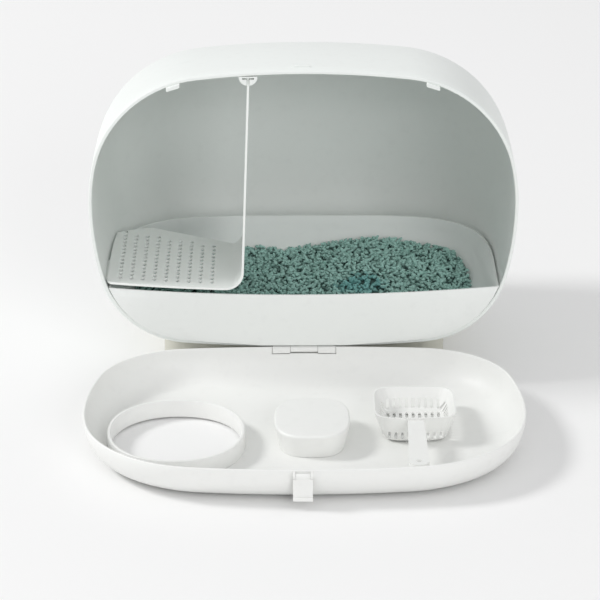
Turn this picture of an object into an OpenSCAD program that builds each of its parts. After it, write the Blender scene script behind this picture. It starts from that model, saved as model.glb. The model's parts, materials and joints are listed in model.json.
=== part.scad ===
// Drawer litter box: a pebble-shaped shell on a low stand, with a drawer of litter in its
// lower part, a divider with a perforated step at the left, and a dished front door that
// folds down about a bottom hinge. A scoop and a deodoriser case lie in the open door.
// X is to the right, Y to the back, Z up. The floor is z = 0.

/* [Rim] */
// Width of the shell's mouth and of the door
rim_w = 580; // [540:5:640]
// Height of the shell's mouth
rim_h = 397; // [370:1:430]
// Height of the widest place of the mouth above its bottom
rim_mid = 207; // [195:1:220]
// Height of the mouth's bottom above the floor
ground_gap = 48; // [46:1:60]
// Radius of the long arc along the top of the mouth
top_r = 1230; // [1000:10:2000]
// Radius of the two upper corners of the mouth
top_corner_r = 162; // [140:1:175]
// Radius of the sides above the widest place
top_side_r = 260; // [230:5:320]
// Radius of the long arc along the bottom of the mouth
bottom_r = 2080; // [1600:20:3000]
// Radius of the two lower corners of the mouth
bottom_corner_r = 127; // [110:1:145]
// Radius of the sides below the widest place
bottom_side_r = 418; // [380:5:480]

/* [Shell] */
// Depth of the shell from its mouth to its back
shell_depth = 360; // [340:5:420]
// Wall of the shell
shell_wall = 3; // [2.5:0.1:4]
// Thickness of the lip around the mouth
lip_t = 4.5; // [4:0.1:6]
// Depth of that lip
lip_depth = 7; // [5:0.5:10]
// Fullness of the shell seen from above: 2 is an ellipse, more is squarer
side_fullness = 4; // [3:0.1:5]
// Fullness of the roof seen from the side
roof_fullness = 2.3; // [2.1:0.1:3]
// Fullness of the floor seen from the side
floor_fullness = 5; // [4:0.5:6]

/* [Drawer] */
// Height of the drawer's rim above the mouth's bottom
drawer_rim_h = 88; // [80:1:95]
// Depth of the drawer behind the mouth
drawer_depth = 282; // [260:1:310]
// Clearance between the drawer and the shell's lip
drawer_gap = 1.5; // [1:0.1:3]
// Wall of the drawer
drawer_wall = 2.5; // [2:0.1:3.5]
// How far the middle of the drawer's front edge stands out of the mouth
drawer_bow = 30; // [18:1:36]
// How far the middle of the drawer's bottom edge stands out of the mouth
drawer_bow_low = 8; // [4:1:12]
// Height of the litter above the mouth's bottom
litter_h = 50; // [35:1:62]
// Distance of each drawer runner from the middle
runner_x = 150; // [110:5:170]
// Width of a drawer runner
runner_w = 6; // [4:0.5:10]
// Length of a drawer runner
runner_len = 100; // [70:5:130]

/* [Divider] */
// Distance of the divider's foot to the left of the middle
divider_x = 81; // [60:1:110]
// How far the divider leans to the right at its top
divider_lean = 8; // [0:1:14]
// Thickness of the divider and its step
divider_t = 3; // [2.5:0.1:4]
// Length of the divider behind the mouth
divider_len = 136; // [100:1:150]
// Gap between the divider's top and the shell's roof
divider_head_gap = 15; // [13:0.5:20]
// Gap between the drawer's rim and the step above it
step_gap = 6.5; // [6:0.1:10]
// Length of the step at the left wall, behind the mouth
step_len = 205; // [170:1:215]
// Radius between the divider and its step
step_corner_r = 26; // [16:1:34]
// Width of the holes in the step
hole_w = 4; // [3:0.1:4]
// Length of those holes
hole_len = 8; // [5:0.5:9]
// Columns of holes
hole_columns = 9; // [5:1:9]
// Spacing of the columns of holes
hole_dx = 15.7; // [13:0.1:16]
// Spacing of the rows of holes
hole_dy = 13.3; // [12:0.1:18]
// Width of the clip under the roof that holds the divider
clip_w = 25; // [22:1:32]
// Length of that clip
clip_len = 15; // [10:1:20]

/* [Door] */
// Depth of the dished door
door_depth = 51.5; // [50:0.5:56]
// Wall of the door
door_wall = 3; // [2.5:0.1:4]
// Width of the curved wall around the door
door_curve = 37; // [25:1:45]
// How much the middle of the door stands out past that wall
door_crown = 3; // [2:0.5:5]
// Gap between the closed door and the mouth
door_gap = 0.5; // [0.3:0.1:2]
// Width of the entrance
entrance_w = 180; // [150:1:190]
// Height of the entrance
entrance_l = 195; // [160:1:210]
// Distance of the entrance's middle to the left of the middle
entrance_x = 168; // [150:1:170]
// Distance of the entrance's middle from the door's hinge edge
entrance_y = 219; // [200:1:240]
// Height of the collar around the entrance
collar_h = 24.5; // [15:0.5:30]
// Wall of that collar
collar_wall = 4; // [3:0.1:5]

/* [Hinge] */
// Distance of the hinge pin in front of the mouth
hinge_out = 5; // [5:0.1:6]
// Distance of the hinge pin below the mouth's bottom
hinge_drop = 1; // [0.5:0.1:2]
// Radius of the hinge knuckles
knuckle_r = 4.5; // [4:0.1:4.8]
// Width of the middle knuckle
knuckle_mid = 37; // [28:1:44]
// Width of each outer knuckle
knuckle_end = 24; // [16:1:30]
// Gap between neighbouring knuckles
knuckle_gap = 0.5; // [0.3:0.1:1]
// Diameter of the hinge pin
pin_d = 3; // [2.5:0.1:4]
// Distance of the face of the hinge pads inside the door from the hinge pin
pad_reach = 5.3; // [5:0.1:5.5]
// Height of those pads above the hinge pin
pad_h = 3.5; // [2:0.1:3.8]
// Running clearance of both pins in their bores, on the radius
pin_fit = 0.05; // [0.02:0.01:0.1]

/* [Latch] */
// Distance of the latch to the left of the middle
latch_left = 2.5; // [0:0.5:5]
// Width of the latch
latch_w = 25; // [20:1:34]
// Length of the latch from its pivot
latch_len = 33.5; // [28:0.5:38]
// Thickness of the latch
latch_t = 3; // [2.5:0.1:4]
// Height of the hook at the latch's end
latch_hook = 2.5; // [1.5:0.1:2.8]
// Distance of the latch's pivot in front of the door's edge
latch_out = 4.5; // [4.3:0.1:6]
// Distance of the latch's pivot below the door's rim
latch_drop = 6; // [5.5:0.1:8]
// Diameter of the latch's pivot pin
latch_pin_d = 2.5; // [2:0.1:3]
// Radius of the ears that hold that pin
ear_r = 4; // [3:0.1:4.2]
// Width of each ear
ear_w = 3; // [2:0.1:4]

/* [Stand] */
// Width of the stand
stand_w = 390; // [340:5:420]
// Length of the stand
stand_len = 240; // [200:5:250]
// Distance of the stand's front behind the mouth
stand_back = 45; // [35:1:60]
// Corner radius of the stand
stand_r = 40; // [20:1:60]
// Wall of the stand
stand_wall = 3; // [2.5:0.1:4]
// Height of the stand's underside above the floor
foot_h = 2; // [1.9:0.1:3]
// Diameter of a rubber foot
foot_d = 22; // [16:1:30]
// Diameter of the posts that the stand is screwed to
post_d = 12; // [9:0.5:16]
// Diameter of the screws
screw_d = 3; // [2.5:0.1:3.5]

/* [Scoop] */
// Width of the scoop's basket
scoop_w = 110; // [95:1:116]
// Length of the basket
scoop_len = 128; // [100:1:130]
// Height of the basket at its handle
scoop_h = 40; // [32:0.5:41]
// Height of the basket at its mouth
scoop_mouth_h = 29; // [20:0.5:32]
// How much each side of the basket leans outwards
scoop_draft = 13; // [8:1:18]
// Wall of the basket
scoop_wall = 2.5; // [2:0.1:3]
// Width of the sifting slots
slot_w = 4; // [3:0.1:4]
// Spacing of the sifting slots
slot_dx = 8.5; // [7:0.5:11]
// Height of the slots in the sides of the basket
side_slot_h = 12; // [8:0.5:16]
// Length of the scoop's handle
handle_len = 137; // [110:1:140]
// Width of the handle at the basket
handle_w = 21; // [18:1:26]
// Width of the handle at its end
handle_end_w = 26; // [22:1:36]
// Thickness of the handle
handle_t = 5; // [4:0.5:7]
// Diameter of the hole that the scoop hangs by
hang_hole_d = 8; // [6:0.5:12]

/* [Deodoriser case] */
// Width of the case
case_w = 101; // [80:1:104]
// Length of the case
case_len = 127; // [100:1:135]
// Height of the case
case_h = 32.5; // [25:0.5:38]
// Wall of the case
case_wall = 2.2; // [1.8:0.1:3]
// Rounding of the case's upper edge
case_round = 4; // [3:0.5:8]
// How much narrower the case is on each side at its bottom
case_draft = 7; // [0:0.5:10]
// Fullness of the case seen from above: 2 is an ellipse, more is squarer
case_fullness = 2.8; // [2.4:0.1:5]
// Gap around and above the block of carbon inside
block_gap = 4; // [3:0.5:10]

/* [Hidden] */
$fn = 48;

seat = 0.3;          // gap at which a piece lies on what carries it
weld = 1.5;          // how deep a rib, post or lug is sunk into the wall that carries it
past = 20;           // how far a cutting shape runs past what it cuts
edge_round = 1.2;    // rounding of the lip's front edges
arc_steps = [4, 9, 4];
depth_steps = 14;
height_steps = 10;
last_share = 0.9995;  // where the shell's skin is closed by a small flat face

rim_z = ground_gap;
mid_z = rim_z + rim_mid;
rim_top = rim_z + rim_h;
upper = [rim_w / 2, rim_h - rim_mid, top_r, top_corner_r, top_side_r];
lower = [rim_w / 2, rim_mid, bottom_r, bottom_corner_r, bottom_side_r];

// The hinge pin, and where the open door lies because of it
hinge_y = -hinge_out;
hinge_z = rim_z - hinge_drop;
door_top = hinge_z + hinge_out - door_gap;
door_back = hinge_y - hinge_drop;
door_bottom = door_top - door_depth;
door_floor = door_bottom + door_crown + door_wall;
latch_y = door_back - rim_h - latch_out;
latch_z = door_top - latch_drop;

// The origin is the middle of the whole open object
front_reach = latch_out + rim_h - door_back + latch_t / 2 + latch_hook;
front_y = (front_reach - last_share * shell_depth) / 2;

// ---- Outline of the mouth ----

// Centre of the corner arc that touches the end arc and the side arc of a quarter
function corner_centre(q) =
    let (end_c = [0, q[1] - q[2]], side_c = [q[0] - q[4], 0])
    let (d = norm(side_c - end_c), end_l = q[2] - q[3], side_l = q[4] - q[3])
    let (along = (d * d + end_l * end_l - side_l * side_l) / (2 * d))
    let (across = sqrt(end_l * end_l - along * along), u = (side_c - end_c) / d)
    end_c + u * along + [u[1], -u[0]] * across;

function bearing(from, to) = atan2(to[1] - from[1], to[0] - from[0]);

function arc(c, r, a, b, n) =
    [for (i = [0 : n - 1]) let (t = a + (b - a) * i / n) c + r * [cos(t), sin(t)]];

// One quarter of the mouth, from the middle of its end to its widest place
function quarter(q, inset) =
    let (c = corner_centre(q), end_c = [0, q[1] - q[2]], side_c = [q[0] - q[4], 0])
    let (a = bearing(end_c, c), b = bearing(side_c, c))
    concat(
        arc(end_c, q[2] - inset, 90, a, arc_steps[0]),
        arc(c, q[3] - inset, a, b, arc_steps[1]),
        arc(side_c, q[4] - inset, b, 0, arc_steps[2]),
        [[q[0] - inset, 0]]);

function backwards(list) = [for (i = [len(list) - 1 : -1 : 0]) list[i]];
function all_but_last(list) = [for (i = [0 : len(list) - 2]) list[i]];

// The whole mouth, clockwise from the top, measured from its widest place
function outline(inset) =
    let (t = quarter(upper, inset), b = quarter(lower, inset))
    concat(
        all_but_last(t),
        all_but_last([for (p = backwards(b)) [p[0], -p[1]]]),
        all_but_last([for (p = b) [-p[0], -p[1]]]),
        all_but_last([for (p = backwards(t)) [-p[0], p[1]]]));

// Half the width of the mouth's lower part at a height above its bottom
function half_width(h, inset) =
    let (q = lower, c = corner_centre(q), end_c = [0, q[1] - q[2]], side_c = [q[0] - q[4], 0])
    let (down = rim_mid - h)
    let (end_z = end_c[1] + (q[2] - inset) * sin(bearing(end_c, c)))
    let (side_z = (q[4] - inset) * sin(bearing(side_c, c)))
    down > end_z ? sqrt(pow(q[2] - inset, 2) - pow(down - end_c[1], 2))
    : down > side_z ? c[0] + sqrt(pow(q[3] - inset, 2) - pow(down - c[1], 2))
    : side_c[0] + sqrt(pow(q[4] - inset, 2) - down * down);

// ---- Shape of the shell ----

// Share of the mouth's size that is left at a share of the depth
function narrowing(share, fullness) = pow(max(0, 1 - pow(share, fullness)), 1 / fullness);

function shell_ring(inset, y, depth) =
    [for (p = outline(inset)) [
        p[0] * narrowing(y / depth, side_fullness),
        y,
        mid_z + p[1] * narrowing(y / depth, p[1] > 0 ? roof_fullness : floor_fullness)]];

depth_shares = concat([for (i = [1 : depth_steps - 1]) sin(90 * i / depth_steps)], [last_share]);

// Height of the shell's underside near the middle
function underside(x, y, inset) =
    let (across = x / narrowing(y / shell_depth, side_fullness), r = bottom_r - inset)
    let (down = rim_mid - bottom_r + sqrt(r * r - across * across))
    mid_z - down * narrowing(y / shell_depth, floor_fullness);

// A closed skin through rings of points, with a flat face at each end
module loft(rings) {
    m = len(rings[0]);
    last = (len(rings) - 1) * m;
    polyhedron(
        points = [for (ring = rings) each ring],
        faces = concat(
            [[for (j = [0 : m - 1]) j]],
            [for (i = [0 : len(rings) - 2], j = [0 : m - 1])
                [i * m + j, (i + 1) * m + (j + 1) % m, i * m + (j + 1) % m]],
            [for (i = [0 : len(rings) - 2], j = [0 : m - 1])
                [i * m + j, (i + 1) * m + j, (i + 1) * m + (j + 1) % m]],
            [[for (j = [m - 1 : -1 : 0]) last + j]]));
}

// Everything is drawn from the mouth and then moved to the middle of the object
module placed() {
    translate([0, front_y, 0]) children();
}

// A rounded rectangle, a block from corner to corner, and a rod along X
module plate(size, r) {
    hull() {
        for (x = [-1, 1], y = [-1, 1]) {
            translate([x * (size[0] / 2 - r), y * (size[1] / 2 - r)]) circle(r, $fn = 32);
        }
    }
}

module block(low, high) {
    translate(low) cube(high - low);
}

module rod(x0, x1, y, z, r) {
    translate([x0, y, z]) rotate([0, 90, 0]) cylinder(r = r, h = x1 - x0);
}

// A strip with round ends, upright in its plane
function slot_outline(w, l) = [for (s = [0, 1], i = [0 : 5]) let (a = 180 * (i / 5 + s))
    [w / 2 * cos(a), (l - w) / 2 * (1 - 2 * s) + w / 2 * sin(a)]];

// An oval of a given fullness
function oval(w, l, fullness, n) = [for (i = [0 : n - 1]) let (a = 360 * i / n) [
    w / 2 * sign(cos(a)) * pow(abs(cos(a)), 2 / fullness),
    l / 2 * sign(sin(a)) * pow(abs(sin(a)), 2 / fullness)]];

// ---- Shell ----

step_bottom = rim_z + drawer_rim_h + step_gap;
step_top = step_bottom + divider_t;
ledge_h = 4;
ledge_reach = 12;
ledge_len = 70;
ledge_y = 20;
runner_y = 12;
runner_top = underside(runner_x, runner_y, lip_t + drawer_gap) - seat;
keeper_w = 24;
keeper_y = [17, 21];
keeper_h = 2;
lug_x = [164, 182];
lug_h = 6;
lug_y = [-4, 8];
post_x = 120;
post_y = [90, 240];
plate_top = foot_h + stand_wall;
pilot_len = 15;

module shell_skin() {
    loft(concat(
        backwards([for (s = depth_shares)
            shell_ring(shell_wall, s * (shell_depth - shell_wall), shell_depth - shell_wall)]),
        [shell_ring(shell_wall, lip_depth + shell_wall, shell_depth - shell_wall),
         shell_ring(lip_t, lip_depth, shell_depth),
         shell_ring(lip_t, edge_round, shell_depth),
         shell_ring(lip_t - edge_round, 0, shell_depth),
         shell_ring(edge_round, 0, shell_depth),
         shell_ring(0, edge_round, shell_depth)],
        [for (s = depth_shares) shell_ring(0, s * shell_depth, shell_depth)]));
}

// Height of the mouth's upper edge at a distance from the middle
function roof_z(x, inset) = rim_top - top_r + sqrt(pow(top_r - inset, 2) - x * x);

// Height of the upper corner's edge at a distance from the middle
function shoulder_z(x, inset) =
    let (c = corner_centre(upper))
    mid_z + c[1] + sqrt(pow(top_corner_r - inset, 2) - pow(x - c[0], 2));

module shell_posts() {
    for (x = [-post_x, post_x], y = post_y) {
        difference() {
            translate([x, y, plate_top + seat])
                cylinder(d = post_d, h = underside(post_x, y, 0) + weld - plate_top - seat);
            translate([x, y, 0]) cylinder(r = screw_d / 2 + pin_fit, h = plate_top + pilot_len);
        }
    }
}

module shell_inner_ribs() {
    for (x = [-runner_x, runner_x]) {
        block([x - runner_w / 2, runner_y, underside(runner_x, runner_y, shell_wall) - weld],
              [x + runner_w / 2, runner_y + runner_len, runner_top]);
    }
    ledge_x = half_width(drawer_rim_h + step_gap, shell_wall - weld);
    block([-ledge_x, ledge_y, step_bottom - seat - ledge_h],
          [-ledge_x + ledge_reach, ledge_y + ledge_len, step_bottom - seat]);
}

// A lug's outline between two distances from the middle, parallel to the mouth's edge
module lug_profile(side, above) {
    polygon(concat(
        [for (x = lug_x) [side * x, shoulder_z(x, lip_t) + above]],
        [for (x = [lug_x[1], lug_x[0]]) [side * x, shoulder_z(x, lip_t) - lug_h]]));
}

module shell_rim_lugs() {
    for (side = [-1, 1]) {
        translate([0, lug_y[1], 0])
            rotate([90, 0, 0]) linear_extrude(height = lug_y[1] - 1) lug_profile(side, weld);
        translate([0, 2, 0]) rotate([90, 0, 0]) linear_extrude(height = 2 - lug_y[0]) lug_profile(side, -1);
    }
}

module shell() {
    color("whitesmoke") placed() {
        shell_skin();
        shell_posts();
        shell_inner_ribs();
        shell_rim_lugs();
        block([-latch_left - keeper_w / 2, keeper_y[0], roof_z(latch_left + keeper_w / 2, 0) - weld],
              [-latch_left + keeper_w / 2, keeper_y[1], rim_top + keeper_h]);
    }
}

// ---- Stand ----

foot_inset = 30;
foot_x = stand_w / 2 - foot_inset;
foot_y = [stand_back + foot_inset, stand_back + stand_len - foot_inset];
foot_plug_r = 3;
tongue_t = 4;

module stand_block(inset, low, high) {
    translate([0, stand_back + stand_len / 2, low])
        linear_extrude(height = high - low)
            plate([stand_w - 2 * inset, stand_len - 2 * inset], stand_r - inset);
}

module stand() {
    color("gainsboro") placed() {
        difference() {
            stand_block(0, foot_h, mid_z);
            stand_block(stand_wall, plate_top, mid_z + past);
            loft(concat(
                [shell_ring(-seat, 0, shell_depth + seat)],
                [for (s = depth_shares) shell_ring(-seat, s * (shell_depth + seat), shell_depth + seat)]));
            block([-rim_w, 0, rim_z + past], [rim_w, shell_depth + past, mid_z + past]);
            for (x = [-foot_x, foot_x], y = foot_y) {
                translate([x, y, 0]) cylinder(r = foot_plug_r + pin_fit, h = plate_top + 1);
            }
            for (x = [-post_x, post_x], y = post_y) {
                translate([x, y, 0]) cylinder(r = screw_d / 2 + seat, h = plate_top + 1);
            }
        }
        difference() {
            union() {
                block([-knuckle_mid / 2, hinge_y, rim_z - seat - tongue_t],
                      [knuckle_mid / 2, stand_back + stand_wall, rim_z - seat]);
                rod(-knuckle_mid / 2, knuckle_mid / 2, hinge_y, hinge_z, knuckle_r);
            }
            rod(-knuckle_mid, knuckle_mid, hinge_y, hinge_z, pin_d / 2 + pin_fit);
        }
    }
}

module stand_feet() {
    color("dimgray") placed() {
        for (x = [-foot_x, foot_x], y = foot_y) {
            translate([x, y, 0]) cylinder(d = foot_d, h = foot_h);
            translate([x, y, foot_h]) cylinder(r = foot_plug_r, h = stand_wall);
        }
    }
}

module stand_screws() {
    head_h = 1.6;
    color("silver") placed() {
        for (x = [-post_x, post_x], y = post_y) {
            translate([x, y, foot_h - head_h]) cylinder(d = 2.2 * screw_d, h = head_h);
            translate([x, y, foot_h]) cylinder(d = screw_d, h = pilot_len);
        }
    }
}

// ---- Divider ----

clip_x = -divider_x + divider_lean;
clip_y = [0, clip_len];
clip_top = roof_z(clip_w / 2 - clip_x, lip_t) - seat;
divider_top = rim_top - lip_t - divider_head_gap;
tongue_w = 15;
tongue_z = [divider_top + 8, divider_top + 9.6];
tongue_gap = 0.4;
divider_tip = 5;
step_round = 6;
plan_reach = 50;
bend_h = 30;

// Front edge of the drawer, and of the step above it, at a distance from the middle
function bow_y(x) = -drawer_bow * (1 - pow(x / half_width(drawer_rim_h, 0), 2));

module divider_clip() {
    color("white") placed() {
        difference() {
            translate([clip_x, clip_y[1], clip_top]) rotate([90, 0, 0]) cylinder(d = clip_w, h = clip_len);
            block([clip_x - clip_w, clip_y[0] - 1, clip_top],
                  [clip_x + clip_w, clip_y[1] + 1, clip_top + clip_w]);
            block([clip_x - tongue_w / 2 - tongue_gap, clip_y[0] - 1, tongue_z[0] - tongue_gap],
                  [clip_x + tongue_w / 2 + tongue_gap, clip_y[1] + 1, tongue_z[1] + tongue_gap]);
            block([clip_x - divider_t / 2 - tongue_gap, clip_y[0] - 1, divider_top - past],
                  [clip_x + divider_t / 2 + tongue_gap, clip_y[1] + 1, tongue_z[1]]);
        }
    }
}

// The upright wall, the round corner and the step, as one profile seen from the front
module divider_profile() {
    r = step_corner_r;
    foot = -divider_x;
    polygon(concat(
        [[-rim_w / 2, step_bottom], [foot - r, step_bottom]],
        arc([foot - r, step_bottom + r], r, -90, 0, 10),
        [[foot, step_bottom + r],
         [clip_x + divider_t / 2, divider_top],
         [clip_x - divider_t / 2, divider_top],
         [foot - divider_t, step_bottom + r]],
        backwards(arc([foot - r, step_bottom + r], r - divider_t, -90, 0, 10)),
        [[-rim_w / 2, step_top]]));
}

// The space that the moulding may fill, seen from above: bowed front, left wall, slanting back
module divider_plan() {
    left = half_width(drawer_rim_h + step_gap, lip_t + drawer_gap);
    polygon(concat(
        [[-left, step_round], [-left + step_round / 3, step_round / 3]],
        [for (i = [0 : 8])
            let (x = -left + step_round + (left - step_round - plan_reach) * i / 8)
            [x, bow_y(x)]],
        [[-plan_reach, divider_len], [-divider_x - 8, divider_len], [-left * 0.8, step_len],
         [-left * 0.87, step_len - 4]],
        [for (i = [6 : -1 : 1])
            let (y = (step_len - 18) * i / 6)
            [-left * narrowing(y / shell_depth, side_fullness), y]]));
}

// The same space seen from the side: the upright wall leans back to the roof
module divider_side() {
    polygon([
        [-rim_w, step_bottom], [-rim_w, step_top],
        [-drawer_bow, step_top], [-drawer_bow + 2, step_top + bend_h],
        [divider_tip, divider_top], [divider_len - 12, divider_top], [divider_len, divider_top - 12],
        [divider_len, step_top], [rim_w, step_top], [rim_w, step_bottom]]);
}

module divider_holes() {
    first_x = -divider_x - step_corner_r - 18;
    for (i = [0 : hole_columns - 1]) {
        x = first_x - i * hole_dx;
        back = divider_len + (step_len - divider_len) * (i + 1.5) / (hole_columns + 0.5);
        for (y = [bow_y(x) + 20 : hole_dy : back - 14]) {
            translate([x, y, step_bottom - 1])
                linear_extrude(height = divider_t + 2) polygon(slot_outline(hole_w, hole_len));
        }
    }
}

module divider_step() {
    color("white") placed() {
        difference() {
            intersection() {
                translate([0, rim_w, 0])
                    rotate([90, 0, 0]) linear_extrude(height = 2 * rim_w) divider_profile();
                linear_extrude(height = rim_top + past) divider_plan();
                translate([-rim_w, 0, 0])
                    rotate([90, 0, 90]) linear_extrude(height = 2 * rim_w) divider_side();
            }
            divider_holes();
        }
        block([clip_x - divider_t / 2, divider_tip, divider_top - 1],
              [clip_x + divider_t / 2, clip_y[1] + 4, tongue_z[1]]);
        block([clip_x - tongue_w / 2, divider_tip, tongue_z[0]],
              [clip_x + tongue_w / 2, clip_y[1] + 4, tongue_z[1]]);
    }
}

// ---- Drawer ----

drawer_inset = lip_t + drawer_gap;
drawer_face_y = 1.5;
tray_steps = 10;  // pieces of the tray's front, and a third of those of its back

// Depth of a tray of the drawer's shape at a height above its own bottom
function tray_back(h, inset, depth) =
    let (b = rim_mid - inset)
    depth * pow(1 - pow(1 - h / b, floor_fullness), 1 / floor_fullness);

// Fullness of a tray seen from above: its corners grow tighter towards the bottom
function tray_fullness(h) = side_fullness + 0.5 + 3 * (1 - h / drawer_rim_h);

// One level ring of a tray: bowed front from left to right, then the rounded back
function tray_ring(h, inset, depth, face) =
    let (hw = half_width(h + inset, inset), back = tray_back(h, inset, depth))
    let (share = (drawer_bow_low + (drawer_bow - drawer_bow_low) * (h + inset) / drawer_rim_h) / drawer_bow)
    let (z = rim_z + inset + h, power = 2 / tray_fullness(h + inset))
    concat(
        [for (i = [0 : tray_steps]) let (x = hw * (2 * i / tray_steps - 1)) [x, face + share * bow_y(x), z]],
        [for (i = [0 : 3 * tray_steps]) let (a = 60 * i / tray_steps) [
            hw * sign(cos(a)) * pow(abs(cos(a)), power),
            face + (back - face) * pow(sin(a), power), z]]);

function tray_levels(top, inset) = concat(
    [for (i = [1 : height_steps])
        let (h = (drawer_rim_h - inset) * pow(i / height_steps, 2)) if (h < top - inset - 1) h],
    [top - inset]);

function tray_rings(top, inset, depth, face) =
    [for (h = tray_levels(top, inset)) tray_ring(h, inset, depth, face)];

module drawer() {
    color("white") placed() {
        loft(concat(
            tray_rings(drawer_rim_h, drawer_inset, drawer_depth, drawer_face_y),
            backwards(tray_rings(drawer_rim_h, drawer_inset + drawer_wall, drawer_depth - drawer_wall,
                drawer_face_y + drawer_wall))));
    }
}

module litter_bed() {
    gap = drawer_wall + 2 * seat;
    color("cadetblue") placed() {
        loft(tray_rings(litter_h, drawer_inset + gap, drawer_depth - gap, drawer_face_y + gap));
    }
}

// ---- Door ----

// One ring of the open door: how far in from the edge, what share of that, how high
function door_ring(inset, share, z) =
    [for (p = outline(inset)) [p[0] * share, door_back - rim_mid - p[1] * share, z]];

flat_share = 0.35;
crown_shares = [0.35, 0.6, 0.8];
wall_angles = [90, 70, 52, 36, 22, 10];
wall_depth = door_depth - door_crown;

function crown_z(share) = door_bottom + door_crown * pow((share - flat_share) / (1 - flat_share), 2);

module door_skin() {
    loft(concat(
        [for (s = crown_shares) door_ring(door_curve, s, crown_z(s))],
        [for (a = wall_angles) door_ring(door_curve * (1 - cos(a)), 1, door_top - wall_depth * sin(a))],
        [door_ring(0, 1, door_top), door_ring(door_wall, 1, door_top)],
        backwards([for (a = wall_angles)
            door_ring(door_wall + (door_curve - door_wall) * (1 - cos(a)), 1,
                door_top - (wall_depth - door_wall) * sin(a))]),
        backwards([for (s = crown_shares) door_ring(door_curve, s, crown_z(s) + door_wall)])));
}

module entrance_shape(inset) {
    translate([-entrance_x, door_back - entrance_y])
        polygon(oval(entrance_w - 2 * inset, entrance_l - 2 * inset, 2.15, 56));
}

module door_panel() {
    ear_x = latch_w / 2 - ear_w;
    knuckle_x = knuckle_mid / 2 + knuckle_gap;
    color("white") placed() {
        difference() {
            union() {
                door_skin();
                for (low = [-knuckle_x - knuckle_end, knuckle_x]) {
                    rod(low, low + knuckle_end, hinge_y, hinge_z, knuckle_r);
                    block([low, hinge_y - pad_reach, hinge_z - knuckle_r],
                          [low + knuckle_end, hinge_y, hinge_z + pad_h]);
                }
                for (low = [-latch_left - latch_w / 2, -latch_left + ear_x]) {
                    rod(low, low + ear_w, latch_y, latch_z, ear_r);
                    block([low, latch_y, latch_z - ear_r],
                          [low + ear_w, latch_y + latch_out + weld, latch_z + ear_r]);
                }
            }
            translate([0, 0, -past]) linear_extrude(height = door_depth + past) entrance_shape(-seat);
            rod(-knuckle_x - knuckle_end - 1, knuckle_x + knuckle_end + 1,
                hinge_y, hinge_z, pin_d / 2 + pin_fit);
            rod(-latch_w, latch_w, latch_y, latch_z, latch_pin_d / 2 + pin_fit);
            block([-knuckle_x, hinge_y - knuckle_r - door_wall, hinge_z - knuckle_r - knuckle_gap],
                  [knuckle_x, hinge_y + knuckle_r, door_top + 1]);
        }
    }
}

module entrance_collar() {
    collar_low = door_bottom + 2.5;
    color("white") placed() {
        translate([0, 0, collar_low]) linear_extrude(height = collar_h) {
            difference() {
                entrance_shape(0);
                entrance_shape(collar_wall);
            }
        }
    }
}

module hinge_pin() {
    half = knuckle_mid / 2 + knuckle_gap + knuckle_end - 1;
    color("silver") placed() {
        rod(-half, half, hinge_y, hinge_z, pin_d / 2);
    }
}

// ---- Latch ----

module latch() {
    barrel = latch_w / 2 - ear_w - seat;
    hook_len = 5;
    clear_z = latch_z - ear_r - seat;
    color("white") placed() translate([-latch_left, 0, 0]) {
        difference() {
            union() {
                rod(-barrel, barrel, latch_y, latch_z, ear_r - 0.6);
                block([-barrel, latch_y - latch_t / 2, clear_z - 1], [barrel, latch_y + latch_t / 2, latch_z]);
                block([-latch_w / 2, latch_y - latch_t / 2, latch_z - latch_len],
                      [latch_w / 2, latch_y + latch_t / 2, clear_z]);
                block([-latch_w / 2, latch_y - latch_t / 2 - latch_hook, latch_z - latch_len],
                      [latch_w / 2, latch_y, latch_z - latch_len + hook_len]);
            }
            rod(-latch_w, latch_w, latch_y, latch_z, latch_pin_d / 2 + pin_fit);
        }
    }
}

module latch_pin() {
    color("silver") placed() {
        rod(-latch_left - latch_w / 2, -latch_left + latch_w / 2, latch_y, latch_z, latch_pin_d / 2);
    }
}

// ---- Scoop ----

scoop_from_end = 144.5;
scoop_from_hinge = 225;
scoop_x = rim_w / 2 - scoop_from_end;
scoop_near = door_back - scoop_from_hinge;
scoop_low = door_floor - 1.5;
scoop_mid = scoop_near + scoop_len / 2;
floor_slot_len = 74;
slot_margin = 7;

// A ring of the basket at a share of its height; the rim falls towards the mouth
function scoop_ring(share, inset, lift) =
    let (w = scoop_w - 2 * scoop_draft * (1 - share), l = scoop_len - 2 * scoop_draft * (1 - share))
    [for (p = oval(w - 2 * inset, l - 2 * inset, 5, 44))
        let (fall = (p[1] + scoop_len / 2) / scoop_len)
        [scoop_x + p[0], scoop_mid + p[1],
         scoop_low + lift + (scoop_h + (scoop_mouth_h - scoop_h) * fall - lift) * share]];

module scoop_basket() {
    loft([scoop_ring(0, 3, 0), scoop_ring(0.08, 0, 0), scoop_ring(0.5, 0, 0), scoop_ring(1, 0, 0),
        scoop_ring(1, scoop_wall, 0), scoop_ring(0.5, scoop_wall, 0), scoop_ring(0.06, scoop_wall, scoop_wall),
        scoop_ring(0, 3 + scoop_wall, scoop_wall)]);
}

// Slots through the floor and, in rows above it, through all four sides
module scoop_slots() {
    columns = floor((scoop_w / 2 - scoop_draft - slot_margin) / slot_dx);
    rows = floor((scoop_len / 2 - scoop_draft - slot_margin) / slot_dx);
    row_z = scoop_low + 4 + side_slot_h / 2;
    for (i = [-columns : columns]) {
        translate([scoop_x + i * slot_dx, scoop_mid, scoop_low - 1])
            linear_extrude(height = 2 * scoop_wall) polygon(slot_outline(slot_w, floor_slot_len));
        translate([scoop_x + i * slot_dx, scoop_near + scoop_len + 1, row_z])
            rotate([90, 0, 0])
                linear_extrude(height = scoop_len + 2) polygon(slot_outline(slot_w, side_slot_h));
    }
    for (i = [-rows : rows]) {
        translate([scoop_x - scoop_w / 2 - 1, scoop_mid + i * slot_dx, row_z])
            rotate([90, 0, 90])
                linear_extrude(height = scoop_w + 2) polygon(slot_outline(slot_w, side_slot_h));
    }
}

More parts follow.
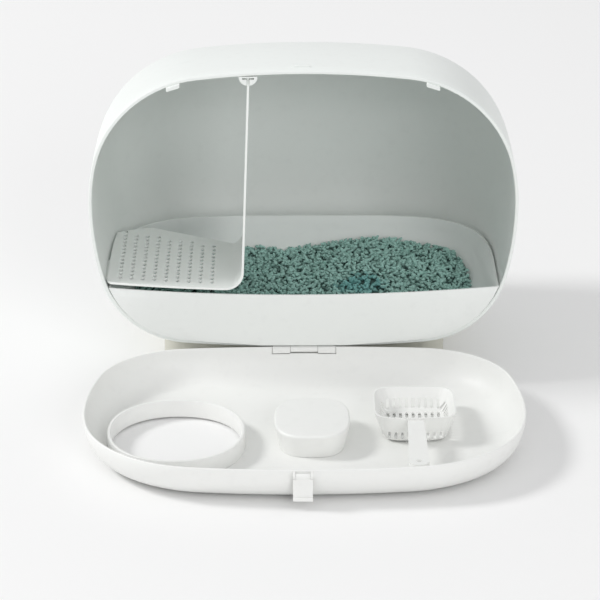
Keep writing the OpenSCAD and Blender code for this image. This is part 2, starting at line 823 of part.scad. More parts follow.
module scoop_handle() {
    end_r = handle_end_w / 2;
    handle_low = scoop_low + scoop_h - 8;
    end_y = scoop_near - handle_len + end_r;
    translate([scoop_x, 0, handle_low]) {
        linear_extrude(height = handle_t) {
            polygon([
                [-handle_w / 2, scoop_near + 2], [handle_w / 2, scoop_near + 2], [end_r, end_y], [-end_r, end_y]]);
            translate([0, end_y]) circle(end_r);
        }
    }
}

module scoop() {
    color("white") placed() {
        difference() {
            union() {
                scoop_basket();
                scoop_handle();
            }
            scoop_slots();
            translate([scoop_x, scoop_near - handle_len + handle_end_w / 2, 0])
                cylinder(d = hang_hole_d, h = 2 * scoop_h);
        }
    }
}

// ---- Deodoriser case ----

case_x = 10;
case_from_hinge = 200;
case_y = door_back - case_from_hinge;
case_low = door_bottom + door_wall + seat;
case_base_t = 3;

function case_outline(inset) = oval(case_w - 2 * inset, case_len - 2 * inset, case_fullness, 64);

// The case's outline at a height: it narrows towards the bottom
function case_ring(inset, z) =
    [for (p = case_outline(inset + case_draft * (1 - z / case_h))) [p[0], p[1], z]];

module case_prism(inset, low, high) {
    translate([case_x, case_y, case_low + low])
        linear_extrude(height = high - low) polygon(case_outline(inset));
}

module case_base() {
    color("white") placed() {
        case_prism(case_wall + case_draft + seat, 0, case_base_t);
    }
}

module case_block() {
    color("dimgray") placed()
        case_prism(case_wall + case_draft + block_gap, case_base_t, case_h - case_wall - block_gap);
}

// The cover's shape, drawn in by an inset, with its upper edge rounded
module case_dome(inset, low) {
    r = case_round - inset / 2;
    translate([case_x, case_y, case_low])
        loft(concat(
            [case_ring(inset, low)],
            [for (a = [0 : 15 : 90])
                case_ring(inset + r * (1 - cos(a)), case_h - inset - r * (1 - sin(a)))]));
}

module case_cover() {
    color("white") placed() {
        difference() {
            case_dome(0, 0);
            case_dome(case_wall, -1);
        }
    }
}

shell();
stand();
stand_feet();
stand_screws();
divider_clip();
divider_step();
drawer();
litter_bed();
door_panel();
entrance_collar();
hinge_pin();
latch();
latch_pin();
scoop();
case_base();
case_block();
case_cover();
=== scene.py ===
"""The looks of a drawer litter box.

A pebble-shaped shell on a low stand, with its litter drawer and perforated step, a dished door folded down in
front of it, and a scoop and a deodoriser case lying in the door.
"""

import json
import math
import random

import bmesh
import bpy
from mathutils import Matrix, Vector, noise

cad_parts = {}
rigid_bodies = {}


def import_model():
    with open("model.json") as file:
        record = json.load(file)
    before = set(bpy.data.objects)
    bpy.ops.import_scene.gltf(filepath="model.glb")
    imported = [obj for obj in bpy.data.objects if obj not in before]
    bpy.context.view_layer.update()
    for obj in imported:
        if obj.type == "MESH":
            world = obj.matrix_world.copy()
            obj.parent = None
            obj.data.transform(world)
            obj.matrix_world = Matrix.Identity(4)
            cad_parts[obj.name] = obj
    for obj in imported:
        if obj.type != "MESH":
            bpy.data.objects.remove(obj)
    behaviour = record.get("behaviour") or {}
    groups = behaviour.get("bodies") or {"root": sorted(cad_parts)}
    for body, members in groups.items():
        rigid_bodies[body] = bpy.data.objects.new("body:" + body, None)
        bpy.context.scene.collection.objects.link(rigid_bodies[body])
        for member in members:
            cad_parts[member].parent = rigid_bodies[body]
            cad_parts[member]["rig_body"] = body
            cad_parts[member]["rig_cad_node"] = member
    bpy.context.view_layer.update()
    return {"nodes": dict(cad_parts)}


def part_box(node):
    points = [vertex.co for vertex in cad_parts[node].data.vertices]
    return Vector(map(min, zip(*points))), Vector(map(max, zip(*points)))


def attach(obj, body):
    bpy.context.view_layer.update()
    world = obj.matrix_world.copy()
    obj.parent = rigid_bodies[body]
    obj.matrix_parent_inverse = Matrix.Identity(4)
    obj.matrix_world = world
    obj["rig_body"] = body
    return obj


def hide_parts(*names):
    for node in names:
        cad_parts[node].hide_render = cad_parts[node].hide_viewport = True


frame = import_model()

# ---------------------------------------------------------------- sizes, in metres

MOUTH_Y = 0.02584  # the shell's mouth is this far behind the middle of the object
RIM_Z = 0.048  # bottom of the mouth above the floor
HALF_W = 0.290
RISE = 0.190  # from the widest place to the top of the mouth
DROP = 0.207  # from the widest place to its bottom
MID_Z = RIM_Z + DROP
TOP_ARCS = (1.230, 0.162, 0.260)  # end, corner and side radii above the widest place
LOW_ARCS = (2.080, 0.127, 0.418)  # and below it

SHELL_DEPTH = 0.360
SHELL_WALL = 0.003
LIP_T = 0.0045
LIP_DEPTH = 0.007
LIP_BACK = 0.012  # behind this the inner wall follows the outer one
SIDE_FULLNESS = 4.0
ROOF_FULLNESS = 2.3
FLOOR_FULLNESS = 5.0

HINGE_OUT = 0.005
HINGE_DROP = 0.001
HINGE = Vector((0.0, MOUTH_Y - HINGE_OUT, RIM_Z - HINGE_DROP))
LATCH_W = 0.025
DOOR_GAP = 0.0005
DOOR_DEPTH = 0.0515
DOOR_CROWN = 0.003
DOOR_WALL = 0.003
DOOR_CURVE = 0.037
DOOR_FLAT = 0.35

# ---------------------------------------------------------------- fineness of the meshes

SAME_PLACE = 0.00002  # vertices nearer than this are made one
SHARP = math.radians(40)  # edges sharper than this are rounded
ARC_STEPS = (6, 18, 8)  # along the end, corner and side arcs of a quarter of the mouth
RING_SEAM = 0.0002  # the ends of the mouth's outline meet within this
LEVEL = 1e-5  # what lies this near the height of the widest place belongs to neither half
ROD_SIDES = 32
HOLE_SIDES = 20
ENTRANCE_SIDES = 96
BODY_SMOOTH = 50  # degrees; the shell and the door keep edges sharper than this

# ---------------------------------------------------------------- small sizes that several pieces share

FINE_ROUND = 0.0006
SMALL_ROUND = 0.0008
EDGE = 0.0012
EDGE_STEP = 0.0003  # first step of an edge that is rounded ring by ring
SUNK = 0.0015  # how deep small details reach into the wall that carries them
REST_GAP = 0.0003  # between pieces that rest on each other
PAST = 0.001  # how far a cutting tool stands out of what it cuts

# ---------------------------------------------------------------- modelling helpers


def deselect():
    """Leaves nothing selected, in object mode."""
    if bpy.context.object and bpy.context.object.mode != "OBJECT":
        bpy.ops.object.mode_set(mode="OBJECT")
    bpy.ops.object.select_all(action="DESELECT")


def activate(piece):
    """Leaves this piece selected and nothing else."""
    deselect()
    piece.select_set(True)
    bpy.context.view_layer.objects.active = piece


def named(name):
    """Takes the primitive that was just added under a name of its own."""
    piece = bpy.context.object
    piece.name = name
    piece.data.name = name
    return piece


def edit(piece):
    """Starts the edit mode with nothing selected."""
    activate(piece)
    bpy.ops.object.mode_set(mode="EDIT")
    bpy.ops.mesh.select_mode(type="VERT")
    bpy.ops.mesh.select_all(action="DESELECT")


def pick(piece, test):
    """Selects the vertices, in edit mode, whose place passes the test."""
    mesh = bmesh.from_edit_mesh(piece.data)
    for v in mesh.verts:
        v.select = test(v.co)
    mesh.select_flush_mode()
    bmesh.update_edit_mesh(piece.data)


def done():
    """Ends the edit mode."""
    bpy.ops.object.mode_set(mode="OBJECT")


def settle(piece):
    """Puts the piece's place, turn and size into its mesh."""
    activate(piece)
    bpy.ops.object.transform_apply(location=True, rotation=True, scale=True)
    return piece


def finish_with(piece, kind, **values):
    """Adds a modifier, sets its values and applies it."""
    activate(piece)
    modifier = piece.modifiers.new(kind.title(), kind)
    for key, value in values.items():
        setattr(modifier, key, value)
    bpy.ops.object.modifier_apply(modifier=modifier.name)
    return piece


def smooth(piece, degrees=35):
    """Shades the piece smooth, but for edges sharper than an angle."""
    activate(piece)
    bpy.ops.object.shade_smooth_by_angle(angle=math.radians(degrees))
    return piece


def merged(piece):
    """Makes one mesh of loose triangles, with its faces outwards."""
    edit(piece)
    bpy.ops.mesh.select_all(action="SELECT")
    bpy.ops.mesh.remove_doubles(threshold=SAME_PLACE)
    bpy.ops.mesh.normals_make_consistent(inside=False)
    done()
    return piece


def joined(name, pieces):
    """Makes one piece of several."""
    deselect()
    for piece in pieces:
        piece.select_set(True)
    bpy.context.view_layer.objects.active = pieces[0]
    bpy.ops.object.join()
    return named(name)


def dressed_copy(node, name, edge):
    """A merged, smooth copy of a CAD node's solid, with its sharp edges rounded."""
    activate(frame["nodes"][node])
    bpy.ops.object.duplicate()
    piece = named(name)
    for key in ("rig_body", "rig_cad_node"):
        if key in piece:
            del piece[key]
    piece.parent = None
    merged(piece)
    finish_with(piece, "DECIMATE", decimate_type="DISSOLVE", angle_limit=math.radians(0.4))
    if edge:
        finish_with(piece, "BEVEL", width=edge, segments=2, limit_method="ANGLE", angle_limit=SHARP,
                    harden_normals=False)
    smooth(piece)
    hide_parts(node)
    return piece


# ---------------------------------------------------------------- materials


def node_group(name, inputs, outputs):
    """An empty shader node group with its sockets, and its input and output nodes."""
    group = bpy.data.node_groups.new(name, "ShaderNodeTree")
    for socket, kind, default in inputs:
        item = group.interface.new_socket(socket, in_out="INPUT", socket_type=kind)
        item.default_value = default
    for socket, kind in outputs:
        group.interface.new_socket(socket, in_out="OUTPUT", socket_type=kind)
    return group, group.nodes.new("NodeGroupInput"), group.nodes.new("NodeGroupOutput")


def moulded_finish():
    """Moulded plastic: a faint drift of tone, a fine satin grain, a little dust in the tone and the gloss."""
    group, taken, given = node_group(
        "moulded_finish",
        [("Tint", "NodeSocketColor", (0.9, 0.9, 0.88, 1)), ("Drift", "NodeSocketFloat", 0.02),
         ("Grain", "NodeSocketFloat", 900.0), ("Gloss", "NodeSocketFloat", 0.45),
         ("Dust", "NodeSocketFloat", 0.03)],
        [("Color", "NodeSocketColor"), ("Roughness", "NodeSocketFloat"), ("Height", "NodeSocketFloat")])
    n, link = group.nodes, group.links.new
    place = n.new("ShaderNodeTexCoord")
    drift = n.new("ShaderNodeTexNoise")
    drift.inputs["Scale"].default_value = 5.0
    drift.inputs["Detail"].default_value = 3.0
    link(place.outputs["Object"], drift.inputs["Vector"])
    grain = n.new("ShaderNodeTexNoise")
    grain.inputs["Detail"].default_value = 2.0
    link(place.outputs["Object"], grain.inputs["Vector"])
    link(taken.outputs["Grain"], grain.inputs["Scale"])
    specks = n.new("ShaderNodeTexNoise")
    specks.inputs["Scale"].default_value = 70.0
    specks.inputs["Detail"].default_value = 6.0
    link(place.outputs["Object"], specks.inputs["Vector"])
    speck_mask = n.new("ShaderNodeMapRange")
    speck_mask.inputs["From Min"].default_value = 0.55
    speck_mask.inputs["From Max"].default_value = 0.8
    link(specks.outputs["Fac"], speck_mask.inputs["Value"])
    tone = n.new("ShaderNodeMath")
    tone.operation = "MULTIPLY_ADD"
    centred = n.new("ShaderNodeMath")
    centred.operation = "SUBTRACT"
    centred.inputs[1].default_value = 0.5
    link(drift.outputs["Fac"], centred.inputs[0])
    link(centred.outputs[0], tone.inputs[0])
    link(taken.outputs["Drift"], tone.inputs[1])
    tone.inputs[2].default_value = 1.0
    dust = n.new("ShaderNodeMath")
    dust.operation = "MULTIPLY"
    link(speck_mask.outputs["Result"], dust.inputs[0])
    link(taken.outputs["Dust"], dust.inputs[1])
    less = n.new("ShaderNodeMath")
    less.operation = "SUBTRACT"
    link(tone.outputs[0], less.inputs[0])
    link(dust.outputs[0], less.inputs[1])
    colour = n.new("ShaderNodeVectorMath")
    colour.operation = "SCALE"
    link(taken.outputs["Tint"], colour.inputs[0])
    link(less.outputs[0], colour.inputs["Scale"])
    link(colour.outputs["Vector"], given.inputs["Color"])
    rough = n.new("ShaderNodeMath")
    rough.operation = "MULTIPLY_ADD"
    link(centred.outputs[0], rough.inputs[0])
    rough.inputs[1].default_value = 0.12
    link(taken.outputs["Gloss"], rough.inputs[2])
    dull = n.new("ShaderNodeMath")
    dull.operation = "ADD"
    link(rough.outputs[0], dull.inputs[0])
    link(dust.outputs[0], dull.inputs[1])
    link(dull.outputs[0], given.inputs["Roughness"])
    link(grain.outputs["Fac"], given.inputs["Height"])
    return group


MOULDED = moulded_finish()


def moulded(name, tint, gloss, drift=0.02, grain=900.0, relief=0.00004):
    """A satin moulded plastic or rubber."""
    material = bpy.data.materials.new(name)
    material.use_nodes = True
    n, link = material.node_tree.nodes, material.node_tree.links.new
    surface = n["Principled BSDF"]
    finish = n.new("ShaderNodeGroup")
    finish.node_tree = MOULDED
    finish.inputs["Tint"].default_value = (*tint, 1)
    finish.inputs["Drift"].default_value = drift
    finish.inputs["Grain"].default_value = grain
    finish.inputs["Gloss"].default_value = gloss
    finish.inputs["Dust"].default_value = 0.03
    bump = n.new("ShaderNodeBump")
    bump.inputs["Distance"].default_value = relief
    bump.inputs["Strength"].default_value = 0.6
    link(finish.outputs["Color"], surface.inputs["Base Color"])
    link(finish.outputs["Roughness"], surface.inputs["Roughness"])
    link(finish.outputs["Height"], bump.inputs["Height"])
    link(bump.outputs["Normal"], surface.inputs["Normal"])
    surface.inputs["IOR"].default_value = 1.49
    return material


def brushed_metal(name, tint):
    """Drawn wire: bright, with fine lines along X."""
    material = bpy.data.materials.new(name)
    material.use_nodes = True
    n, link = material.node_tree.nodes, material.node_tree.links.new
    surface = n["Principled BSDF"]
    place = n.new("ShaderNodeTexCoord")
    stretch = n.new("ShaderNodeMapping")
    stretch.inputs["Scale"].default_value = (20, 900, 900)
    lines = n.new("ShaderNodeTexNoise")
    lines.inputs["Scale"].default_value = 1.0
    lines.inputs["Detail"].default_value = 3.0
    shine = n.new("ShaderNodeMapRange")
    shine.inputs["To Min"].default_value = 0.22
    shine.inputs["To Max"].default_value = 0.42
    ramp = n.new("ShaderNodeMix")
    ramp.data_type = "RGBA"
    ramp.inputs["A"].default_value = (*[c * 0.85 for c in tint], 1)
    ramp.inputs["B"].default_value = (*tint, 1)
    link(place.outputs["Object"], stretch.inputs["Vector"])
    link(stretch.outputs["Vector"], lines.inputs["Vector"])
    link(lines.outputs["Fac"], shine.inputs["Value"])
    link(lines.outputs["Fac"], ramp.inputs["Factor"])
    link(ramp.outputs["Result"], surface.inputs["Base Color"])
    link(shine.outputs["Result"], surface.inputs["Roughness"])
    surface.inputs["Metallic"].default_value = 1.0
    return material


def litter_grain(name, dark, light):
    """Crumbly pellets with a rough, pitted skin; each has as attributes its own shade, part random tone and
    part painted shade, and its dampness.
    """
    material = bpy.data.materials.new(name)
    material.use_nodes = True
    n, link = material.node_tree.nodes, material.node_tree.links.new
    surface = n["Principled BSDF"]
    shade = n.new("ShaderNodeAttribute")
    shade.attribute_name = "shade"
    place = n.new("ShaderNodeTexCoord")
    crumbs = n.new("ShaderNodeTexNoise")
    crumbs.inputs["Scale"].default_value = 520.0
    crumbs.inputs["Detail"].default_value = 4.0
    damp = n.new("ShaderNodeAttribute")
    damp.attribute_name = "damp"
    tinted = n.new("ShaderNodeMix")
    tinted.data_type = "RGBA"
    tinted.inputs["B"].default_value = (0.06, 0.37, 0.39, 1)
    both = n.new("ShaderNodeMath")
    both.operation = "MULTIPLY_ADD"
    both.inputs[1].default_value = 0.45
    # The ramp's dark end serves mostly as painted shade, for deep crumbs and for the bed that shows between
    # them.
    ramp = n.new("ShaderNodeValToRGB")
    ramp.color_ramp.elements[0].position = 0.2
    ramp.color_ramp.elements[0].color = (*dark, 1)
    ramp.color_ramp.elements[1].position = 1.1 / 1.45
    ramp.color_ramp.elements[1].color = (*light, 1)
    bump = n.new("ShaderNodeBump")
    bump.inputs["Distance"].default_value = 0.0006
    bump.inputs["Strength"].default_value = 0.7
    link(place.outputs["Object"], crumbs.inputs["Vector"])
    link(crumbs.outputs["Fac"], both.inputs[0])
    link(shade.outputs["Fac"], both.inputs[2])
    link(both.outputs[0], ramp.inputs["Fac"])
    link(ramp.outputs["Color"], tinted.inputs["A"])
    link(damp.outputs["Fac"], tinted.inputs["Factor"])
    link(tinted.outputs["Result"], surface.inputs["Base Color"])
    link(crumbs.outputs["Fac"], bump.inputs["Height"])
    link(bump.outputs["Normal"], surface.inputs["Normal"])
    surface.inputs["Roughness"].default_value = 0.95
    return material


shell_white = moulded("shell_white", (0.855, 0.885, 0.86), gloss=0.42)
drawer_white = moulded("drawer_white", (0.86, 0.88, 0.86), gloss=0.40)
# Brighter than the other white plastics: painted light on the step and in the left chamber.
divider_white_painted_light = moulded("divider_white_painted_light", (0.90, 0.925, 0.90), gloss=0.42)
door_white = moulded("door_white", (0.87, 0.875, 0.855), gloss=0.40)
small_white = moulded("small_part_white", (0.87, 0.875, 0.855), gloss=0.38)
# The stand's dark beige is painted shade, for the shadow under the shell; only its hinge tongue keeps the
# plastic's white.
stand_painted_shade = moulded("stand_painted_shade", (0.60, 0.595, 0.52), gloss=0.5)
foot_rubber = moulded("foot_rubber", (0.09, 0.09, 0.085), gloss=0.8, grain=500.0)
carbon_black = moulded("carbon_black", (0.03, 0.032, 0.036), gloss=0.9, drift=0.3, grain=400.0, relief=0.0003)
pin_steel = brushed_metal("pin_steel", (0.62, 0.63, 0.64))
# The first colour is the darkest tone, used mostly as painted shade on deep crumbs and on the bed between
# them.
litter_teal = litter_grain("litter_teal", (0.04, 0.09, 0.08), (0.385, 0.62, 0.56))


def paint(piece, material):
    """Gives the whole piece one material."""
    piece.data.materials.clear()
    piece.data.materials.append(material)
    return piece


# ---------------------------------------------------------------- rings of the shell and the door


def corner_arcs(half_w, end_h, radii):
    """Centre, turn and steps of each arc of a quarter of the mouth: end arc, corner arc, side arc."""
    end_r, corner_r, side_r = radii
    end_c, side_c = Vector((0, end_h - end_r)), Vector((half_w - side_r, 0))
    apart = side_c - end_c
    reach, to_end, to_side = apart.length, end_r - corner_r, side_r - corner_r
    along = (reach**2 + to_end**2 - to_side**2) / (2 * reach)
    across = math.sqrt(to_end**2 - along**2)
    u = apart / reach
    corner_c = end_c + u * along + Vector((u.y, -u.x)) * across
    a = math.atan2(corner_c.y - end_c.y, corner_c.x - end_c.x)
    b = math.atan2(corner_c.y - side_c.y, corner_c.x - side_c.x)
    return list(zip((end_c, corner_c, side_c), (math.pi / 2 - a, a - b, b), ARC_STEPS))


def spin_arc(centre, angle, steps):
    """Carries the selected vertex round an arc in the plane of the mouth."""
    bpy.ops.mesh.spin(steps=steps, angle=angle, center=(centre[0], MOUTH_Y, centre[1]), axis=(0, -1, 0),
                      dupli=False)


def mouth_ring(name):
    """The outline of the mouth, drawn as one closed run of arcs from its top."""
    bpy.ops.mesh.primitive_plane_add(size=0.001, location=(0, MOUTH_Y, MID_Z + RISE))
    ring = settle(named(name))
    edit(ring)
    bpy.ops.mesh.select_all(action="SELECT")
    bpy.ops.mesh.merge(type="CENTER")
    top = corner_arcs(HALF_W, RISE, TOP_ARCS)
    low = corner_arcs(HALF_W, DROP, LOW_ARCS)
    for centre, turn, steps in top:
        spin_arc((centre.x, MID_Z + centre.y), turn, steps)
    for centre, turn, steps in reversed(low):
        spin_arc((centre.x, MID_Z - centre.y), turn, steps)
    for centre, turn, steps in low:
        spin_arc((-centre.x, MID_Z - centre.y), turn, steps)
    for centre, turn, steps in reversed(top):
        spin_arc((-centre.x, MID_Z + centre.y), turn, steps)
    bpy.ops.mesh.select_all(action="SELECT")
    bpy.ops.mesh.remove_doubles(threshold=RING_SEAM)
    done()
    return ring


def ring_of(piece):
    """The selected vertices, by number."""
    mesh = bmesh.from_edit_mesh(piece.data)
    return {v.index for v in mesh.verts if v.select}


def select_ring(piece, ring):
    """Selects the vertices of these numbers and nothing else."""
    bpy.ops.mesh.select_all(action="DESELECT")
    mesh = bmesh.from_edit_mesh(piece.data)
    for v in mesh.verts:
        v.select = v.index in ring
    mesh.select_flush(True)
    bmesh.update_edit_mesh(piece.data)


def resize_ring(piece, across, up, down):
    """Narrows the selected ring about the mouth's widest place: its width, its upper and its lower part."""
    ring = ring_of(piece)
    middle = (0, MOUTH_Y, MID_Z)
    bpy.ops.transform.resize(value=(across, 1, 1), center_override=middle)
    mesh = bmesh.from_edit_mesh(piece.data)
    mesh.verts.ensure_lookup_table()
    upper = {i for i in ring if mesh.verts[i].co.z > MID_Z + LEVEL}
    lower = {i for i in ring if mesh.verts[i].co.z < MID_Z - LEVEL}
    for part, height in ((upper, up), (lower, down)):
        select_ring(piece, part)
        bpy.ops.transform.resize(value=(1, 1, height), center_override=middle)
    select_ring(piece, ring)


def extend_skin(piece, start, stations):
    """Carries a ring on through stations: how far behind the mouth, how wide, how high above and below."""
    behind, across, up, down = start
    for there in stations:
        bpy.ops.mesh.extrude_region_move(TRANSFORM_OT_translate={"value": (0, there[0] - behind, 0)})
        resize_ring(piece, there[1] / across, there[2] / up, there[3] / down)
        behind, across, up, down = there
    bpy.ops.mesh.edge_face_add()


def inset(width):
    """Width and heights of the mouth's outline drawn in by a width, as shares of the whole."""
    return tuple((full - width) / full for full in (HALF_W, RISE, DROP))


def narrowed(behind, depth, wall):
    """Width and heights that the shell keeps at a distance behind its mouth."""
    share = behind / depth
    return tuple(size * max(0.0, 1 - share**fullness) ** (1 / fullness)
                 for size, fullness in zip(inset(wall), (SIDE_FULLNESS, ROOF_FULLNESS, FLOOR_FULLNESS)))


def two_skins(name, first, outer, inner):
    """A wall between two skins that both start from one ring at the mouth."""
    piece = mouth_ring(name)
    edit(piece)
    bpy.ops.mesh.select_all(action="SELECT")
    bpy.ops.transform.translate(value=(0, first[0], 0))
    resize_ring(piece, *first[1:])
    start = ring_of(piece)
    extend_skin(piece, first, outer)
    select_ring(piece, start)
    extend_skin(piece, first, inner)
    bpy.ops.mesh.select_all(action="SELECT")
    bpy.ops.mesh.normals_make_consistent(inside=False)
    done()
    return piece


# ---------------------------------------------------------------- shapes that many pieces need


def cube(name, low, high):
    """A box between two corners."""
    size = Vector(high) - Vector(low)
    bpy.ops.mesh.primitive_cube_add(size=1, location=(Vector(high) + Vector(low)) / 2)
    piece = named(name)
    piece.scale = size
    return settle(piece)


def rod(name, start, end, radius):
    """A round bar between two points along X, Y or Z."""
    start, end = Vector(start), Vector(end)
    bpy.ops.mesh.primitive_cylinder_add(vertices=ROD_SIDES, radius=radius, depth=(end - start).length,
                                        location=(start + end) / 2)
    piece = named(name)
    piece.rotation_euler = (end - start).to_track_quat("Z", "Y").to_euler()
    return settle(piece)


def rounded(piece, width):
    """Rounds the piece's sharp edges."""
    return finish_with(piece, "BEVEL", width=width, segments=3, limit_method="ANGLE", angle_limit=SHARP)


def cut(piece, tool):
    """Takes the tool's solid out of the piece."""
    finish_with(piece, "BOOLEAN", operation="DIFFERENCE", object=tool, solver="EXACT")
    deselect()
    bpy.data.objects.remove(tool)
    return piece


def welded(piece, other):
    """Makes one solid of two that run into each other."""
    finish_with(piece, "BOOLEAN", operation="UNION", object=other, solver="EXACT")
    deselect()
    bpy.data.objects.remove(other)
    return piece


def prism(name, outline, low, high):
    """An upright bar between two heights, whose sides follow an outline given for each direction."""
    bpy.ops.mesh.primitive_cylinder_add(vertices=ENTRANCE_SIDES, radius=1, depth=high - low,
                                        location=(0, 0, (high + low) / 2))
    piece = settle(named(name))
    edit(piece)
    mesh = bmesh.from_edit_mesh(piece.data)
    for v in mesh.verts:
        v.co.x, v.co.y = outline(math.atan2(v.co.y, v.co.x))
    bmesh.update_edit_mesh(piece.data)
    done()
    return piece


def oval(centre, width, length, fullness):
    """An outline for prism: 2 is an ellipse, more is squarer."""
    def point(angle):
        c, s = math.cos(angle), math.sin(angle)
        return (centre[0] + width / 2 * math.copysign(abs(c) ** (2 / fullness), c),
                centre[1] + length / 2 * math.copysign(abs(s) ** (2 / fullness), s))
    return point


# ---------------------------------------------------------------- shell

SKIN_SHARES = [math.sin(math.radians(90 * i / 26)) for i in range(1, 26)] + [0.9995]
LIP_EASE = 0.002  # length of the step from the lip's thickness to the wall's
LATCH_X = -0.0025
KEEPER = Vector((0.024, 0.004))
KEEPER_BEHIND = 0.019  # the mouth
KEEPER_H = 0.002  # above the roof's highest place
LUG_X = (0.164, 0.182)
LUG_H = 0.006
LUG_BACK = 0.008
LUG_FRONT = 0.004
LUG_SUNK = 0.0005
RUNNER_X = 0.150
RUNNER_FRONT = 0.012
RUNNER = Vector((0.006, 0.100, 0.0055))
LEDGE = Vector((0.012, 0.070, 0.004))
LEDGE_BACK = 0.020
LEDGE_IN = 0.0155  # from the shell's widest place
POST_X = 0.120
POST_Y = (0.090, 0.240)
POST_R = 0.006
PILOT_R = 0.00155
PILOT_DEPTH = 0.015
PLATE_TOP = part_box("stand")[0].z + 0.003


def edge_height(x, top, wall=0.0):
    """Height of the mouth's upper or lower edge at a distance from the middle."""
    arcs = corner_arcs(HALF_W, RISE, TOP_ARCS) if top else corner_arcs(HALF_W, DROP, LOW_ARCS)
    radii = TOP_ARCS if top else LOW_ARCS
    centre, radius = (arcs[0][0], radii[0]) if abs(x) < arcs[1][0].x else (arcs[1][0], radii[1])
    up = centre.y + math.sqrt((radius - wall) ** 2 - (abs(x) - centre.x) ** 2)
    return MID_Z + up if top else MID_Z - up


def latch_keeper():
    """The low bar on the roof that the latch's hook holds when the door is closed."""
    middle = MOUTH_Y + KEEPER_BEHIND
    roof = edge_height(KEEPER.x / 2, True)
    bar = cube("keeper", (LATCH_X - KEEPER.x / 2, middle - KEEPER.y / 2, roof - SUNK),
               (LATCH_X + KEEPER.x / 2, middle + KEEPER.y / 2, MID_Z + RISE + KEEPER_H))
    return rounded(bar, FINE_ROUND)


def roof_lug(side):
    """A short rib hanging under the front of the roof, parallel to the mouth's edge."""
    near, far = (edge_height(x, True, LIP_T) for x in LUG_X)
    lug = cube("roof_lug", (LUG_X[0] * side, MOUTH_Y - LUG_FRONT, 0),
               (LUG_X[1] * side, MOUTH_Y + LUG_BACK, LUG_H))
    merged(lug)
    edit(lug)
    pick(lug, lambda co: abs(co.x) > (LUG_X[0] + LUG_X[1]) / 2)
    bpy.ops.transform.translate(value=(0, 0, far - near))
    bpy.ops.mesh.select_all(action="SELECT")
    bpy.ops.transform.translate(value=(0, 0, near - LUG_H + LUG_SUNK))
    done()
    return rounded(lug, EDGE)


def drawer_runner(side):
    """A rib on the shell's floor that the drawer slides on."""
    floor = edge_height(RUNNER_X, False)
    x = RUNNER_X * side
    rib = cube("drawer_runner", (x - RUNNER.x / 2, MOUTH_Y + RUNNER_FRONT, floor + SUNK),
               (x + RUNNER.x / 2, MOUTH_Y + RUNNER_FRONT + RUNNER.y, floor + RUNNER.z))
    return rounded(rib, SMALL_ROUND)


def step_ledge():
    """A small shelf on the left wall that carries the step."""
    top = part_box("divider_step")[0].z - REST_GAP
    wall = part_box("shell")[0].x + LEDGE_IN
    shelf = cube("step_ledge", (wall, MOUTH_Y + LEDGE_BACK, top - LEDGE.z),
                 (wall + LEDGE.x, MOUTH_Y + LEDGE_BACK + LEDGE.y, top))
    return rounded(shelf, SMALL_ROUND)


def screw_post(x, y):
    """A hollow post under the shell that takes a screw from the stand."""
    share = 1 - (y / SHELL_DEPTH) ** FLOOR_FULLNESS
    under = MID_Z + (edge_height(x, False) - MID_Z) * share ** (1 / FLOOR_FULLNESS)
    y += MOUTH_Y
    post = rod("screw_post", (x, y, PLATE_TOP + REST_GAP), (x, y, under + SUNK), POST_R)
    return cut(post, rod("pilot_bore", (x, y, 0), (x, y, PLATE_TOP + PILOT_DEPTH), PILOT_R))


def build_shell():
    """The pebble with its lip, the lugs under its roof, the latch's keeper, inner ribs and screw posts."""
    outer = [(EDGE + (SHELL_DEPTH - EDGE) * s, *narrowed(SHELL_DEPTH * s, SHELL_DEPTH, 0))
             for s in SKIN_SHARES]
    outer[-1] = (SHELL_DEPTH * SKIN_SHARES[-1], *outer[-1][1:])
    depth = SHELL_DEPTH - SHELL_WALL
    lip = [(EDGE * 0.3, *inset(EDGE * 0.3)), (0.0, *inset(EDGE)), (0.0, *inset(LIP_T - EDGE)),
           (EDGE * 0.3, *inset(LIP_T - EDGE * 0.3)), (EDGE, *inset(LIP_T)), (LIP_DEPTH, *inset(LIP_T)),
           (LIP_DEPTH + LIP_EASE, *inset(SHELL_WALL))]
    inner = lip + [(depth * s, *narrowed(depth * s, depth, SHELL_WALL))
                   for s in SKIN_SHARES if s * depth > LIP_BACK]
    shell = two_skins("shell_body", (EDGE, *inset(0)), outer, inner)
    details = [latch_keeper()] + [roof_lug(side) for side in (-1, 1)]
    details += [drawer_runner(side) for side in (-1, 1)] + [step_ledge()]
    details += [screw_post(x, y) for x in (-POST_X, POST_X) for y in POST_Y]
    return smooth(paint(joined("shell_body", [shell] + details), shell_white), BODY_SMOOTH)


shell = build_shell()
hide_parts("shell")
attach(shell, "housing")

# ---------------------------------------------------------------- door

DOOR_EDGE = 0.001  # rounding of the rim's edges
CURVE_ANGLES = range(10, 91, 10)
CROWN_SHARES = (0.9, 0.8, 0.65, 0.5, DOOR_FLAT)
ENTRANCE_FULLNESS = 2.15
ENTRANCE_PLAY = 0.0006
ENTRANCE_CUT = (-0.02, 0.06)  # heights that the cut runs between
KNUCKLE_R = 0.0045
KNUCKLE_X = 0.019
KNUCKLE_W = 0.024
PAD_REACH = 0.0053
PAD_H = 0.0035
HINGE_BORE = 0.00155
NOTCH_PLAY = 0.0005
NOTCH_TOP = 0.02
GROOVE_W = 0.0011
GROOVE_DEPTH = 0.0017
GROOVE_FRONT = 0.003
GROOVE_TOP = 0.008
LATCH_BORE = 0.0013
EAR_R = 0.004
EAR_W = 0.003
EAR_ROOT = 0.006
LATCH_PIVOT = (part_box("latch_pin")[0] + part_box("latch_pin")[1]) / 2


